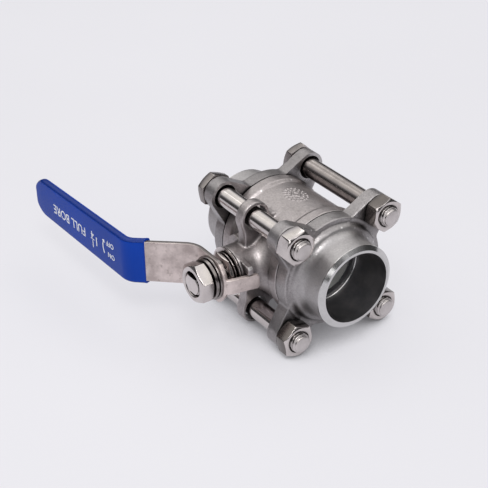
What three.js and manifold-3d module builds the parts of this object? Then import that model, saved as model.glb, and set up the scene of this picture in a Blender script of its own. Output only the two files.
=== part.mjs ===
// Three-piece butt-weld ball valve, DN32, lever operated, shown open. Millimetres, +Z up.
// The pipe axis is X, the stem points along -Y, and the lever lies back along -X when open.
// Everything is drawn about the ball's centre; the last lines stand the valve on the ground plane.
import * as THREE from 'three';
import { mergeVertices } from 'three/addons/utils/BufferGeometryUtils.js';
import Module from 'manifold-3d';

const wasm = await Module();
wasm.setup();

// ---- driving dimensions -------------------------------------------------------------------
const PORT_R = 16; // full-bore port, 32 mm across
const BALL_R = 23;
const GAP = 0.3; // clearance left between pieces that touch

// bolt square and the flanges that it clamps
const BOLT_Y = 25.5;
const BOLT_Z = 25.3;
const BOLT_R = 5; // M10
const BOLT_HOLE_R = 6.1;
const LUG_HOLE_R = 6.4; // looser guide in the centre body's lugs
const BOLT_END_X = 40.3;
const HEX_M10_FLATS = 15.5;
const HEAD_M10_H = 4.8;
const NUT_M10_H = 7.7;
const FLANGE_IN_X = 22.15; // mating face of an end cap
const FLANGE_OUT_X = 29.5; // outer face of its ears
const FLANGE_R = 28;
const EAR_R = 7.75;
const EAR_FLARE = THREE.MathUtils.degToRad(16); // each side of an ear opens towards the flange

// end cap
const WELD_END_X = 46.7;
const PIPE_R = 21.15; // 42.3 mm pipe
const PIPE_BORE_R = 17.9;
const LAND_R = 19.2; // root face of the weld bevel
const BEVEL_X = 1.4;
const STEP_X = 24.7; // where the weld bore meets the port
const HUB_R = 24.4;
const SEAT_FLOOR_X = 21.9;
const SPIGOT_X = 19.5;
const SPIGOT_R = 23.2;
const SEAT_POCKET_R = 21;

// centre body
const BODY_END_X = 21.85;
const DRUM_R = 27;
const CAVITY_R = 23.6;
const GASKET_FLOOR_X = 20.4;
const GASKET_GROOVE_R = 25.9;
const LUG_HALF_X = 2.8; // plate that carries the two bolt guides beside the stem
const LUG_SIDE_Y = -31.8;
const LUG_R = 7.9;
const NECK_R = 11.65;
const NECK_END_Y = -39.2;
const PACKING_BOX_R = 9.4;
const PACKING_FLOOR_Y = -29.5;
const SHOULDER_POCKET_R = 9.4;
const SHOULDER_FLOOR_Y = -27.3;
const STOP_OUT_Y = -38.3;
const STOP_IN_Y = -35.4;

// stem and what is stacked on it
const STEM_R = 5.95; // M12
const STEM_END_Y = -60.25;
const STEM_SHOULDER_R = 9;
const STEM_SHOULDER_Y = [-23.4, -25.9];
const STEM_FLAT_Z = 4;
const STEM_FLAT_Y = -46.9;
const TANG_HALF_X = 3.6;
const TANG_HALF_Z = 8.6;
const TANG_TIP_Y = -19.4;
const SLOT_CLEAR = 0.35;
const SLOT_FLOOR_Y = -19;
const RING_IN_R = 6.3;
const FOLLOWER_Y = [-37.4, -39.8];
const SPRING_T = 0.55;
const INNER_SPRING = { r: 12, outerY: -39.75, innerY: -40.15 };
const OUTER_SPRING = { r: 10.1, outerY: -41.1, innerY: -41.05 };
const GLAND_NUT_Y = [-41.95, -44.1];
const GLAND_NUT_FLATS = 18.7;
const LEVER_NUT_FLATS = 18;

// lever: a bent strip, drawn from its stop tab to its tip
const LEVER_T = 2.2;
const LEVER_MID_Y = -48.2;
const LEVER_HALF_W = 11.2;
const LEVER_TIP_HALF_W = 9.4;
const LEVER_TIP_X = -120.6;
const SHOULDER_X = 6.2; // where the strip starts to narrow to its tab
const TAB_ROOT_X = 12.2;
const TAB_HALF_W = 3.8;
const TAB_END = [15, -32.6];
const TAB_ANGLE = 78.3;
const TAB_LENGTH = 13.98;
const CRANK_ANGLE = 49;
const GRIP_ANGLE = 3;
const CRANK_START_X = -9;
const CRANK_END_Y = -70.6;

// grip sleeve
const SLEEVE_T = 4.4;
const SLEEVE_EDGE_R = 1.8; // rounding of its long edges and tip
const SLEEVE_HEM_X = -28.9; // the hem's front corner
const SLEEVE_HEM_Y = -68.6;
const HEM_LEAN = 0.35; // run toward the tip per mm from the front face to the back
const SLEEVE_TIP_X = -122;
const SLEEVE_HALF_W = 12.2;
const SLEEVE_TIP_HALF_W = 10.6;

// facets round a circle
const FINE = 36;
const MEDIUM = 24;
const COARSE = 20;

// ---- materials ----------------------------------------------------------------------------
const metal = (color, roughness) => new THREE.MeshStandardMaterial({ color, roughness, metalness: 1 });
const plain = (color, roughness) => new THREE.MeshStandardMaterial({ color, roughness, metalness: 0 });
const CAST = metal(0x8f8b89, 0.45);
const POLISHED = metal(0xb9b3b0, 0.22);
const BALL_STEEL = metal(0xc8c8c8, 0.1);
const STAMPED = metal(0xa79f98, 0.38);
const PTFE = plain(0xe9e9e4, 0.5);
const VINYL = plain(0x24419c, 0.4);

// ---- geometry helpers ---------------------------------------------------------------------
// A closed geometry with shared corners and its faces turned outwards.
function closed(geometry) {
  geometry.deleteAttribute('normal');
  geometry.deleteAttribute('uv');
  const merged = mergeVertices(geometry, 1e-4);
  const p = merged.attributes.position;
  const corners = merged.index.array;
  const kept = [];
  let volume = 0;
  for (let i = 0; i < corners.length; i += 3) {
    const [a, b, c] = [corners[i], corners[i + 1], corners[i + 2]];
    if (a === b || b === c || c === a) continue;
    kept.push(a, b, c);
    const u = new THREE.Vector3().fromBufferAttribute(p, a);
    const v = new THREE.Vector3().fromBufferAttribute(p, b);
    const w = new THREE.Vector3().fromBufferAttribute(p, c);
    volume += u.dot(v.cross(w));
  }
  merged.setIndex(volume < 0 ? kept.reverse() : kept);
  return merged;
}

// A manifold-3d solid, ready to be joined or cut.
function solid(geometry) {
  const g = closed(geometry);
  return new wasm.Manifold(new wasm.Mesh({
    numProp: 3,
    vertProperties: new Float32Array(g.attributes.position.array),
    triVerts: new Uint32Array(g.index.array),
  }));
}

function geometryOf(manifold) {
  const mesh = manifold.getMesh();
  const g = new THREE.BufferGeometry();
  g.setAttribute('position', new THREE.BufferAttribute(new Float32Array(mesh.vertProperties), 3));
  g.setIndex(new THREE.BufferAttribute(new Uint32Array(mesh.triVerts), 1));
  return g;
}

const joined = (...solids) => solids.reduce((a, b) => a.add(b));
const cutBy = (body, ...tools) => tools.reduce((a, b) => a.subtract(b), body);

// Profiles are lists of [radius, height]; one that doesn't start on the axis closes on itself.
function revolved(profile, segments) {
  const points = profile.map(([r, h]) => new THREE.Vector2(r, h));
  if (profile[0][0] > 0) points.push(points[0].clone());
  return new THREE.LatheGeometry(points, segments);
}
const aboutY = (profile, segments = MEDIUM) => revolved(profile, segments);
const aboutX = (profile, segments = FINE) => revolved(profile, segments).rotateZ(-Math.PI / 2);
const ring = (inner, outer, from, to) => [[inner, from], [outer, from], [outer, to], [inner, to]];
const rod = (radius, from, to) => [[0, from], [radius, from], [radius, to], [0, to]];

function extruded(shape, depth, basis, curveSegments = 12) {
  const g = new THREE.ExtrudeGeometry(shape, { depth, bevelEnabled: false, curveSegments });
  return g.applyMatrix4(basis);
}
const AXIS_X = new THREE.Vector3(1, 0, 0);
const AXIS_Y = new THREE.Vector3(0, 1, 0);
const AXIS_Z = new THREE.Vector3(0, 0, 1);
// A shape drawn in (y, z) and pushed from x0 to x1.
function alongX(shape, x0, x1, curveSegments) {
  const basis = new THREE.Matrix4().makeBasis(AXIS_Y, AXIS_Z, AXIS_X).setPosition(x0, 0, 0);
  return extruded(shape, x1 - x0, basis, curveSegments);
}
// A shape drawn in (x, z) and pushed outwards along the stem from y0 to y1, y1 being lower.
function alongStem(shape, y0, y1, curveSegments) {
  const out = AXIS_Y.clone().negate();
  const basis = new THREE.Matrix4().makeBasis(AXIS_X, AXIS_Z, out).setPosition(0, y0, 0);
  return extruded(shape, y0 - y1, basis, curveSegments);
}
const polygon = (points) => new THREE.Shape(points.map(([u, v]) => new THREE.Vector2(u, v)));
const box = (x, y, z) => {
  const g = new THREE.BoxGeometry(x[1] - x[0], y[1] - y[0], z[1] - z[0]);
  return g.translate((x[0] + x[1]) / 2, (y[0] + y[1]) / 2, (z[0] + z[1]) / 2);
};

function hexagon(flats, turnDegrees) {
  const corner = flats / Math.sqrt(3);
  const points = [];
  for (let i = 0; i < 6; i += 1) {
    const angle = THREE.MathUtils.degToRad(turnDegrees + 60 * i);
    points.push([corner * Math.cos(angle), corner * Math.sin(angle)]);
  }
  return polygon(points);
}

// The turned blank that leaves a hexagon with chamfered corners; height runs from low to high.
function chamferBlank(flats, low, high, chamferLow, chamferHigh) {
  const corner = flats / Math.sqrt(3) + 0.05;
  const face = 0.93 * (flats / 2);
  const drop = 0.58 * (corner - face);
  const profile = [[0, low]];
  if (chamferLow) profile.push([face, low], [corner, low + drop]);
  else profile.push([corner, low]);
  if (chamferHigh) profile.push([corner, high - drop], [face, high]);
  else profile.push([corner, high]);
  profile.push([0, high]);
  return profile;
}

// ---- fixed pieces -------------------------------------------------------------------------
function endCapProfile() {
  const chamfer = 0.6;
  const coveStart = [HUB_R - 0.5, FLANGE_OUT_X + 2.1];
  const coveEnd = [PIPE_R, 38.5];
  const cove = new THREE.CubicBezierCurve(
    new THREE.Vector2(...coveStart),
    new THREE.Vector2(coveStart[0] - 1.6, coveStart[1] + 1),
    new THREE.Vector2(coveEnd[0] + 0.1, coveEnd[1] - 3.6),
    new THREE.Vector2(...coveEnd),
  );
  return [
    [PORT_R, SEAT_FLOOR_X],
    [SEAT_POCKET_R, SEAT_FLOOR_X],
    [SEAT_POCKET_R, SPIGOT_X],
    [SPIGOT_R, SPIGOT_X],
    [SPIGOT_R, FLANGE_IN_X],
    [FLANGE_R - chamfer, FLANGE_IN_X],
    [FLANGE_R, FLANGE_IN_X + chamfer],
    [FLANGE_R, FLANGE_OUT_X - chamfer],
    [FLANGE_R - chamfer, FLANGE_OUT_X],
    [HUB_R + 0.3, FLANGE_OUT_X],
    [HUB_R, FLANGE_OUT_X + 0.4],
    [HUB_R, FLANGE_OUT_X + 1.4],
    ...cove.getPoints(4).map((p) => [p.x, p.y]),
    [PIPE_R, WELD_END_X - BEVEL_X],
    [LAND_R, WELD_END_X],
    [PIPE_BORE_R, WELD_END_X],
    [PIPE_BORE_R, STEP_X + 0.25],
    [PIPE_BORE_R - 0.25, STEP_X],
    [PORT_R, STEP_X],
  ];
}

// Rounded ear about one bolt, its sides opening towards the flange.
function earShape(y, z) {
  const outward = Math.atan2(z, y);
  const reach = 16;
  const rootAt = (side) => {
    const normal = outward + side * (Math.PI / 2 - EAR_FLARE);
    const inward = outward + Math.PI - side * EAR_FLARE;
    return [
      y + EAR_R * Math.cos(normal) + reach * Math.cos(inward),
      z + EAR_R * Math.sin(normal) + reach * Math.sin(inward),
    ];
  };
  const shape = new THREE.Shape();
  shape.absarc(y, z, EAR_R, outward - Math.PI / 2 + EAR_FLARE, outward + Math.PI / 2 - EAR_FLARE, false);
  shape.lineTo(...rootAt(1));
  shape.lineTo(...rootAt(-1));
  return shape;
}

const BOLT_CORNERS = [
  { name: 'upper_stem_side', y: -BOLT_Y, z: BOLT_Z, headTurn: 38, nutTurn: 12 },
  { name: 'upper_back', y: BOLT_Y, z: BOLT_Z, headTurn: 15, nutTurn: 22 },
  { name: 'lower_stem_side', y: -BOLT_Y, z: -BOLT_Z, headTurn: 50, nutTurn: 40 },
  { name: 'lower_back', y: BOLT_Y, z: -BOLT_Z, headTurn: 5, nutTurn: 30 },
];

const rodAlongX = (radius, x0, x1, y, z) =>
  solid(aboutX(rod(radius, x0, x1), COARSE).translate(0, y, z));

// One end cap, drawn at the +X end; side -1 turns it to the far end.
function endCap(side) {
  let cap = solid(aboutX(endCapProfile()));
  for (const { y, z } of BOLT_CORNERS) {
    cap = cap.add(solid(alongX(earShape(y, z), FLANGE_IN_X, FLANGE_OUT_X, 10)));
  }
  const bore = solid(aboutX(rod(SPIGOT_R, 18, FLANGE_IN_X + 1)));
  const seatSpace = solid(aboutX(ring(PIPE_BORE_R + 1, SPIGOT_R, FLANGE_IN_X + 1, STEP_X)));
  const core = solid(aboutX(endCapProfile()));
  cap = joined(cutBy(cap, cutBy(bore, core), cutBy(seatSpace, core)), core);
  for (const { y, z } of BOLT_CORNERS) {
    cap = cap.subtract(rodAlongX(BOLT_HOLE_R, 20, 32, y, z));
  }
  const g = geometryOf(cap);
  return side > 0 ? g : g.rotateZ(Math.PI);
}

function drumProfile() {
  const flareStart = 15;
  const flareEnd = 16.8;
  const chamfer = 0.4;
  const outer = [];
  const steps = 3;
  for (let i = 0; i <= steps; i += 1) {
    const t = i / steps;
    const eased = t * t * (3 - 2 * t);
    outer.push([DRUM_R + (FLANGE_R - DRUM_R) * eased, flareStart + (flareEnd - flareStart) * t]);
  }
  outer.push([FLANGE_R, BODY_END_X - chamfer], [FLANGE_R - chamfer, BODY_END_X]);
  const half = [
    ...outer,
    [GASKET_GROOVE_R, BODY_END_X],
    [GASKET_GROOVE_R, GASKET_FLOOR_X],
    [CAVITY_R, GASKET_FLOOR_X],
  ];
  const mirrored = half.map(([r, x]) => [r, -x]).reverse();
  return [...mirrored, ...half];
}

// Plate across the body with a round guide for each stem-side bolt.
function lugPlateShape() {
  const inside = -14;
  const arcTop = THREE.MathUtils.degToRad(28);
  const shape = new THREE.Shape();
  shape.absarc(-BOLT_Y, BOLT_Z, LUG_R, arcTop, THREE.MathUtils.degToRad(217), false);
  shape.lineTo(LUG_SIDE_Y, -BOLT_Z + 4.8);
  shape.absarc(-BOLT_Y, -BOLT_Z, LUG_R, THREE.MathUtils.degToRad(143), -arcTop, false);
  shape.lineTo(inside, -22);
  shape.lineTo(inside, 22);
  return shape;
}

// Finger that the lever's tab stops against; the second one is its mirror about x = -z.
function stopFinger(mirror) {
  const inner = TAB_HALF_W + 0.5;
  const points = [[3, 9.6], [6.3, 9.4], [14.1, 8.1], [15, 7.2], [15, inner], [3, inner]];
  const placed = mirror ? points.map(([x, z]) => [-z, -x]).reverse() : points;
  return solid(alongStem(polygon(placed), STOP_IN_Y, STOP_OUT_Y));
}

function castPad() {
  const outline = [[-13.8, 1.5], [-14.5, 5.7], [-13.7, 9], [-10.1, 11.5], [-6.4, 11.2], [-6.2, 1.5]];
  return solid(alongStem(polygon(outline), -20, -29.6));
}

function centreBody() {
  const neck = aboutY([
    [0, -18],
    [15.5, -18],
    [14.4, -26],
    [NECK_R + 0.5, -28.6],
    [NECK_R, -30],
    [NECK_R, NECK_END_Y + 0.4],
    [NECK_R - 0.4, NECK_END_Y],
    [0, NECK_END_Y],
  ], FINE);
  const drum = solid(aboutX(drumProfile()));
  const drumCore = solid(aboutX(rod(CAVITY_R, -BODY_END_X, BODY_END_X)));
  const plate = solid(alongX(lugPlateShape(), -LUG_HALF_X, LUG_HALF_X, 12));
  let body = joined(plate, solid(neck), castPad(), stopFinger(false), stopFinger(true));
  body = joined(cutBy(body, drumCore), drum);
  body = cutBy(
    body,
    solid(aboutY(rod(SHOULDER_POCKET_R, SHOULDER_FLOOR_Y, -10))),
    solid(aboutY(rod(STEM_R + 0.4, PACKING_FLOOR_Y - 1, -20))),
    solid(aboutY(rod(PACKING_BOX_R, NECK_END_Y - 5, PACKING_FLOOR_Y))),
  );
  for (const z of [BOLT_Z, -BOLT_Z]) {
    body = body.subtract(rodAlongX(LUG_HOLE_R, -LUG_HALF_X - 1, LUG_HALF_X + 1, -BOLT_Y, z));
  }
  return geometryOf(body);
}

// Seat ring, its front hollowed to the ball.
const seatProfile = [
  [PORT_R + 0.15, 17.2],
  [17.9, 15.35],
  [19.6, 12.95],
  [20.7, 13.7],
  [20.7, SEAT_FLOOR_X - GAP],
  [PORT_R + 0.15, SEAT_FLOOR_X - GAP],
];
const gasketProfile = ring(SPIGOT_R + 0.7, GASKET_GROOVE_R - GAP, GASKET_FLOOR_X + GAP, BODY_END_X);

function bolt({ y, z, headTurn }) {
  const bearing = -FLANGE_OUT_X - GAP;
  const top = bearing - HEAD_M10_H;
  const hex = solid(alongX(hexagon(HEX_M10_FLATS, headTurn), top, bearing));
  const blank = solid(aboutX(chamferBlank(HEX_M10_FLATS, top, bearing, true, false), MEDIUM));
  const shank = aboutX([
    [0, bearing - 1],
    [BOLT_R, bearing - 1],
    [BOLT_R, BOLT_END_X - 0.9],
    [BOLT_R - 0.9, BOLT_END_X],
    [0, BOLT_END_X],
  ], COARSE);
  return geometryOf(joined(hex.intersect(blank), solid(shank))).translate(0, y, z);
}

function nut({ y, z, nutTurn }) {
  const from = FLANGE_OUT_X + GAP;
  const to = from + NUT_M10_H;
  const hex = solid(alongX(hexagon(HEX_M10_FLATS, nutTurn), from, to));
  const blank = solid(aboutX(chamferBlank(HEX_M10_FLATS, from, to, true, true), MEDIUM));
  const hole = solid(aboutX(rod(BOLT_R + GAP, from - 1, to + 1), COARSE));
  return geometryOf(hex.intersect(blank).subtract(hole)).translate(0, y, z);
}

// ---- pieces that turn with the stem -------------------------------------------------------
function ball() {
  const sphere = solid(new THREE.SphereGeometry(BALL_R, FINE, 18));
  const port = solid(aboutX(rod(PORT_R, -BALL_R - 1, BALL_R + 1)));
  const halfSlot = TANG_HALF_X + SLOT_CLEAR;
  const slot = solid(box([-halfSlot, halfSlot], [-BALL_R - 1, SLOT_FLOOR_Y], [-BALL_R, BALL_R]));
  return geometryOf(cutBy(sphere, port, slot));
}

function stem() {
  const [low, high] = STEM_SHOULDER_Y;
  const turned = solid(aboutY([
    [0, low],
    [STEM_SHOULDER_R - 0.8, low],
    [STEM_SHOULDER_R, low - 0.8],
    [STEM_SHOULDER_R, high],
    [STEM_R, high],
    [STEM_R, STEM_END_Y + 0.9],
    [STEM_R - 0.9, STEM_END_Y],
    [0, STEM_END_Y],
  ]));
  const tangReach = solid(aboutY(rod(TANG_HALF_Z, low - 0.5, TANG_TIP_Y)));
  const tangBlade = solid(box([-TANG_HALF_X, TANG_HALF_X], [low - 0.5, TANG_TIP_Y], [-9, 9]));
  const flats = [1, -1].map((side) => {
    const z = [side * STEM_FLAT_Z, side * 8].sort((a, b) => a - b);
    return solid(box([-8, 8], [STEM_END_Y - 1, STEM_FLAT_Y], z));
  });
  return geometryOf(joined(cutBy(turned, ...flats), tangReach.intersect(tangBlade)));
}

// A disc spring: a dished ring between two heights on the stem.
function discSpring({ r, outerY, innerY }) {
  const profile = [[RING_IN_R, innerY], [r, outerY], [r, outerY - SPRING_T], [RING_IN_R, innerY - SPRING_T]];
  return aboutY(profile, MEDIUM);
}

function hexOnStem(flats, turn, inner, outer, chamferInner) {
  const hex = solid(alongStem(hexagon(flats, turn), inner, outer));
  const blank = solid(aboutY(chamferBlank(flats, outer, inner, true, chamferInner)));
  const hole = solid(aboutY(rod(RING_IN_R, outer - 1, inner + 1), COARSE));
  return geometryOf(hex.intersect(blank).subtract(hole));
}

// Walks a strip's middle line: each move is [length] or [radius, turn in degrees].
function walk(start, headingDegrees, moves) {
  const points = [];
  let [x, y] = start;
  let heading = THREE.MathUtils.degToRad(headingDegrees);
  const mark = () => points.push({ x, y, nx: -Math.sin(heading), ny: Math.cos(heading) });
  mark();
  for (const [size, turn] of moves) {
    if (turn === undefined) {
      x += size * Math.cos(heading);
      y += size * Math.sin(heading);
      mark();
      continue;
    }
    const steps = Math.max(3, Math.round(Math.abs(turn) / 10));
    const step = THREE.MathUtils.degToRad(turn) / steps;
    const chord = 2 * size * Math.sin(Math.abs(step) / 2);
    for (let i = 0; i < steps; i += 1) {
      x += chord * Math.cos(heading + step / 2);
      y += chord * Math.sin(heading + step / 2);
      heading += step;
      mark();
    }
  }
  return points;
}

// Lengths of the straight stretches follow from where the crank and the grip begin.
function leverLine(tipX) {
  const foldR = 2.4;
  const crankR = 11.1;
  const elbowR = 7.9;
  const crank = THREE.MathUtils.degToRad(CRANK_ANGLE);
  const grip = THREE.MathUtils.degToRad(GRIP_ANGLE);
  const fold = THREE.MathUtils.degToRad(TAB_ANGLE);
  const foldEndX = TAB_END[0] - TAB_LENGTH * Math.cos(fold) - foldR * Math.sin(fold);
  const crankEndY = LEVER_MID_Y - crankR * (1 - Math.cos(crank));
  const crankEndX = CRANK_START_X - crankR * Math.sin(crank);
  const slope = (crankEndY - CRANK_END_Y) / Math.sin(crank);
  const elbowX = crankEndX - slope * Math.cos(crank) - elbowR * (Math.sin(crank) - Math.sin(grip));
  return walk(TAB_END, 180 + TAB_ANGLE, [
    [TAB_LENGTH],
    [foldR, -TAB_ANGLE],
    [foldEndX - CRANK_START_X],
    [crankR, CRANK_ANGLE],
    [slope],
    [elbowR, GRIP_ANGLE - CRANK_ANGLE],
    [(elbowX - tipX) / Math.cos(grip)],
  ]);
}

// Half of a bar's size at a distance from its tip, with the tip's corners rounded.
const roundedHalf = (half, radius, fromTip) => {
  const inset = Math.max(0, radius - fromTip);
  return half - radius + Math.sqrt(Math.max(0, radius * radius - inset * inset));
};

// A bar swept along the lever's line from one x to its tip. Its width tapers and its tip is rounded
// in plan by tipR; its four long edges are rounded by edgeR.
function sweptBar({ fromX, tipX, halfFrom, halfTip, halfT, tipR, edgeR }) {
  const line = leverLine(tipX);
  const stations = line.filter(({ x }) => x < fromX - 0.01 && x > tipX + tipR + 0.01);
  const before = line.filter(({ x }) => x >= fromX - 0.01).pop();
  const after = stations[0];
  const share = (fromX - before.x) / (after.x - before.x);
  const start = { ...before, x: fromX, y: before.y + share * (after.y - before.y) };
  if (Math.abs(before.nx - after.nx) > 0.01) Object.assign(start, { nx: after.nx, ny: after.ny });
  const last = line[line.length - 1];
  const previous = stations[stations.length - 1];
  const slopeY = (last.y - previous.y) / (last.x - previous.x);
  const tipDistances = [1, 0.83, 0.66, 0.5, 0.34, 0.2, 0.1, 0.04, 0].map((part) => part * tipR);
  const tip = tipDistances.map((d) => ({ ...last, x: tipX + d, y: last.y + slopeY * d }));
  const rings = [start, ...stations, ...tip].map(({ x, y, nx, ny }) => {
    const fromTip = x - tipX;
    const along = (fromX - x) / (fromX - tipX);
    const half = roundedHalf(halfFrom + (halfTip - halfFrom) * along, tipR, fromTip);
    const thick = edgeR > 0 ? roundedHalf(halfT, edgeR, fromTip) : halfT;
    const radius = Math.min(edgeR, thick * 0.95);
    const points = [];
    const corners = [[1, 1, 0], [-1, 1, 90], [-1, -1, 180], [1, -1, 270]];
    for (const [sz, st, base] of corners) {
      const steps = edgeR > 0 ? [0, 30, 60, 90] : [0];
      for (const turn of steps) {
        const angle = THREE.MathUtils.degToRad(base + turn);
        const z = sz * (half - radius) + radius * Math.cos(angle);
        const t = st * (thick - radius) + radius * Math.sin(angle);
        points.push([x + t * nx, y + t * ny, z]);
      }
    }
    return points;
  });
  return loft(rings);
}

// A closed skin through rings of equally many points, with flat ends.
function loft(rings) {
  const count = rings[0].length;
  const index = [];
  for (let r = 0; r + 1 < rings.length; r += 1) {
    for (let i = 0; i < count; i += 1) {
      const a = r * count + i;
      const b = r * count + ((i + 1) % count);
      index.push(a, b, b + count, a, b + count, a + count);
    }
  }
  const end = (rings.length - 1) * count;
  for (let i = 1; i + 1 < count; i += 1) {
    index.push(0, i + 1, i, end, end + i, end + i + 1);
  }
  const g = new THREE.BufferGeometry();
  g.setAttribute('position', new THREE.Float32BufferAttribute(rings.flat(2), 3));
  g.setIndex(index);
  g.setAttribute('normal', new THREE.Float32BufferAttribute(new Float32Array(rings.flat(2).length), 3));
  g.setAttribute('uv', new THREE.Float32BufferAttribute(new Float32Array((rings.flat().length) * 2), 2));
  return solid(g);
}

// The strip's side view, pushed across its width.
function strip(line, thickness, halfWidth) {
  const h = thickness / 2;
  const left = line.map(({ x, y, nx, ny }) => [x + h * nx, y + h * ny]);
  const right = line.map(({ x, y, nx, ny }) => [x - h * nx, y - h * ny]).reverse();
  const g = extruded(polygon([...left, ...right]), 2 * halfWidth, new THREE.Matrix4());
  return solid(g.translate(0, 0, -halfWidth));
}

// Outline of the bare strip seen along the stem: straight tapering sides and a rounded tip.
function leverOutline() {
  const tipR = 8;
  const centreX = LEVER_TIP_X + tipR;
  const centreZ = LEVER_TIP_HALF_W - tipR;
  const shape = new THREE.Shape();
  shape.absarc(centreX, centreZ, tipR, Math.PI / 2, Math.PI, false);
  shape.absarc(centreX, -centreZ, tipR, Math.PI, 1.5 * Math.PI, false);
  const root = [
    [-20, -LEVER_HALF_W], [SHOULDER_X, -LEVER_HALF_W], [TAB_ROOT_X, -TAB_HALF_W], [18, -TAB_HALF_W],
    [18, TAB_HALF_W], [TAB_ROOT_X, TAB_HALF_W], [SHOULDER_X, LEVER_HALF_W], [-20, LEVER_HALF_W],
  ];
  for (const [x, z] of root) shape.lineTo(x, z);
  return shape;
}

function lever() {
  const blank = strip(leverLine(LEVER_TIP_X - 1), LEVER_T, LEVER_HALF_W);
  const outline = solid(alongStem(leverOutline(), -20, -90, 8));
  const holeFlat = STEM_FLAT_Z + GAP;
  const across = solid(box([-8, 8], [-60, -40], [-holeFlat, holeFlat]));
  const hole = solid(aboutY(rod(STEM_R + GAP, -60, -40), COARSE)).intersect(across);
  return geometryOf(blank.intersect(outline).subtract(hole));
}

function sleeve() {
  const skin = sweptBar({
    fromX: SLEEVE_HEM_X + 4,
    tipX: SLEEVE_TIP_X,
    halfFrom: SLEEVE_HALF_W,
    halfTip: SLEEVE_TIP_HALF_W,
    halfT: SLEEVE_T / 2,
    tipR: 9.5,
    edgeR: SLEEVE_EDGE_R,
  });
  const hollow = sweptBar({
    fromX: SLEEVE_HEM_X + 6,
    tipX: LEVER_TIP_X - GAP,
    halfFrom: LEVER_HALF_W + GAP,
    halfTip: LEVER_TIP_HALF_W + GAP,
    halfT: LEVER_T / 2 + GAP,
    tipR: 7.5,
    edgeR: 0,
  });
  const hemX = (y) => SLEEVE_HEM_X - HEM_LEAN * (y - SLEEVE_HEM_Y);
  const beyond = polygon([[hemX(-80), -80], [-5, -80], [-5, -40], [hemX(-40), -40]]);
  const beyondHem = solid(extruded(beyond, 40, new THREE.Matrix4()).translate(0, 0, -20));
  return geometryOf(cutBy(skin, beyondHem, hollow));
}

// ---- assembly -----------------------------------------------------------------------------
const valve = new THREE.Group();
const fixed = new THREE.Group();
const turning = new THREE.Group();
valve.add(fixed, turning);

function place(group, name, geometry, material) {
  const mesh = new THREE.Mesh(closed(geometry), material);
  mesh.name = name;
  group.add(mesh);
}

place(fixed, 'centre_body', centreBody(), CAST);
for (const [end, side] of [['near', 1], ['far', -1]]) {
  const turned = (g) => (side > 0 ? g : g.rotateZ(Math.PI));
  place(fixed, `${end}_end_cap`, endCap(side), CAST);
  place(fixed, `${end}_seat_ring`, turned(aboutX(seatProfile)), PTFE);
  place(fixed, `${end}_body_gasket`, turned(aboutX(gasketProfile)), PTFE);
}
for (const corner of BOLT_CORNERS) {
  place(fixed, `bolt_${corner.name}`, bolt(corner), POLISHED);
  place(fixed, `nut_${corner.name}`, nut(corner), POLISHED);
}
place(fixed, 'stem_thrust_washer', aboutY(ring(RING_IN_R, 8.8, -26.15, -27.1), COARSE), PTFE);
const PACKING_PITCH = 2.55;
const PACKING_H = 2.3;
for (let i = 0; i < 3; i += 1) {
  const from = PACKING_FLOOR_Y - 0.25 - i * PACKING_PITCH;
  const profile = ring(STEM_R + GAP, PACKING_BOX_R - 0.2, from, from - PACKING_H);
  place(fixed, `stem_packing_ring_${i + 1}`, aboutY(profile, COARSE), PTFE);
}
place(fixed, 'gland_follower', aboutY(ring(RING_IN_R, PACKING_BOX_R - 0.2, ...FOLLOWER_Y), COARSE), POLISHED);

place(turning, 'ball', ball(), BALL_STEEL);
place(turning, 'stem', stem(), POLISHED);
place(turning, 'disc_spring_inner', discSpring(INNER_SPRING), POLISHED);
place(turning, 'disc_spring_outer', discSpring(OUTER_SPRING), POLISHED);
place(turning, 'gland_nut', hexOnStem(GLAND_NUT_FLATS, 57, ...GLAND_NUT_Y, false), POLISHED);
place(turning, 'lever', lever(), STAMPED);
place(turning, 'lever_grip_sleeve', sleeve(), VINYL);
place(turning, 'lever_plain_washer', aboutY(ring(RING_IN_R, 10.8, -49.6, -50.6), COARSE), POLISHED);
place(turning, 'lever_spring_washer', aboutY(ring(RING_IN_R, 10, -50.85, -52.75), COARSE), POLISHED);
place(turning, 'lever_nut', hexOnStem(LEVER_NUT_FLATS, 21, -53, -59.9, true), POLISHED);

// The origin sits under the middle of the whole valve, on the plane that it lies on.
const extent = new THREE.Box3().setFromObject(valve);
const middle = extent.getCenter(new THREE.Vector3());
valve.position.set(-middle.x, -middle.y, -extent.min.z);
valve.updateMatrixWorld(true);

export default valve;
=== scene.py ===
import math

import bpy
import numpy as np
from mathutils import Matrix, Vector

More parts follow.
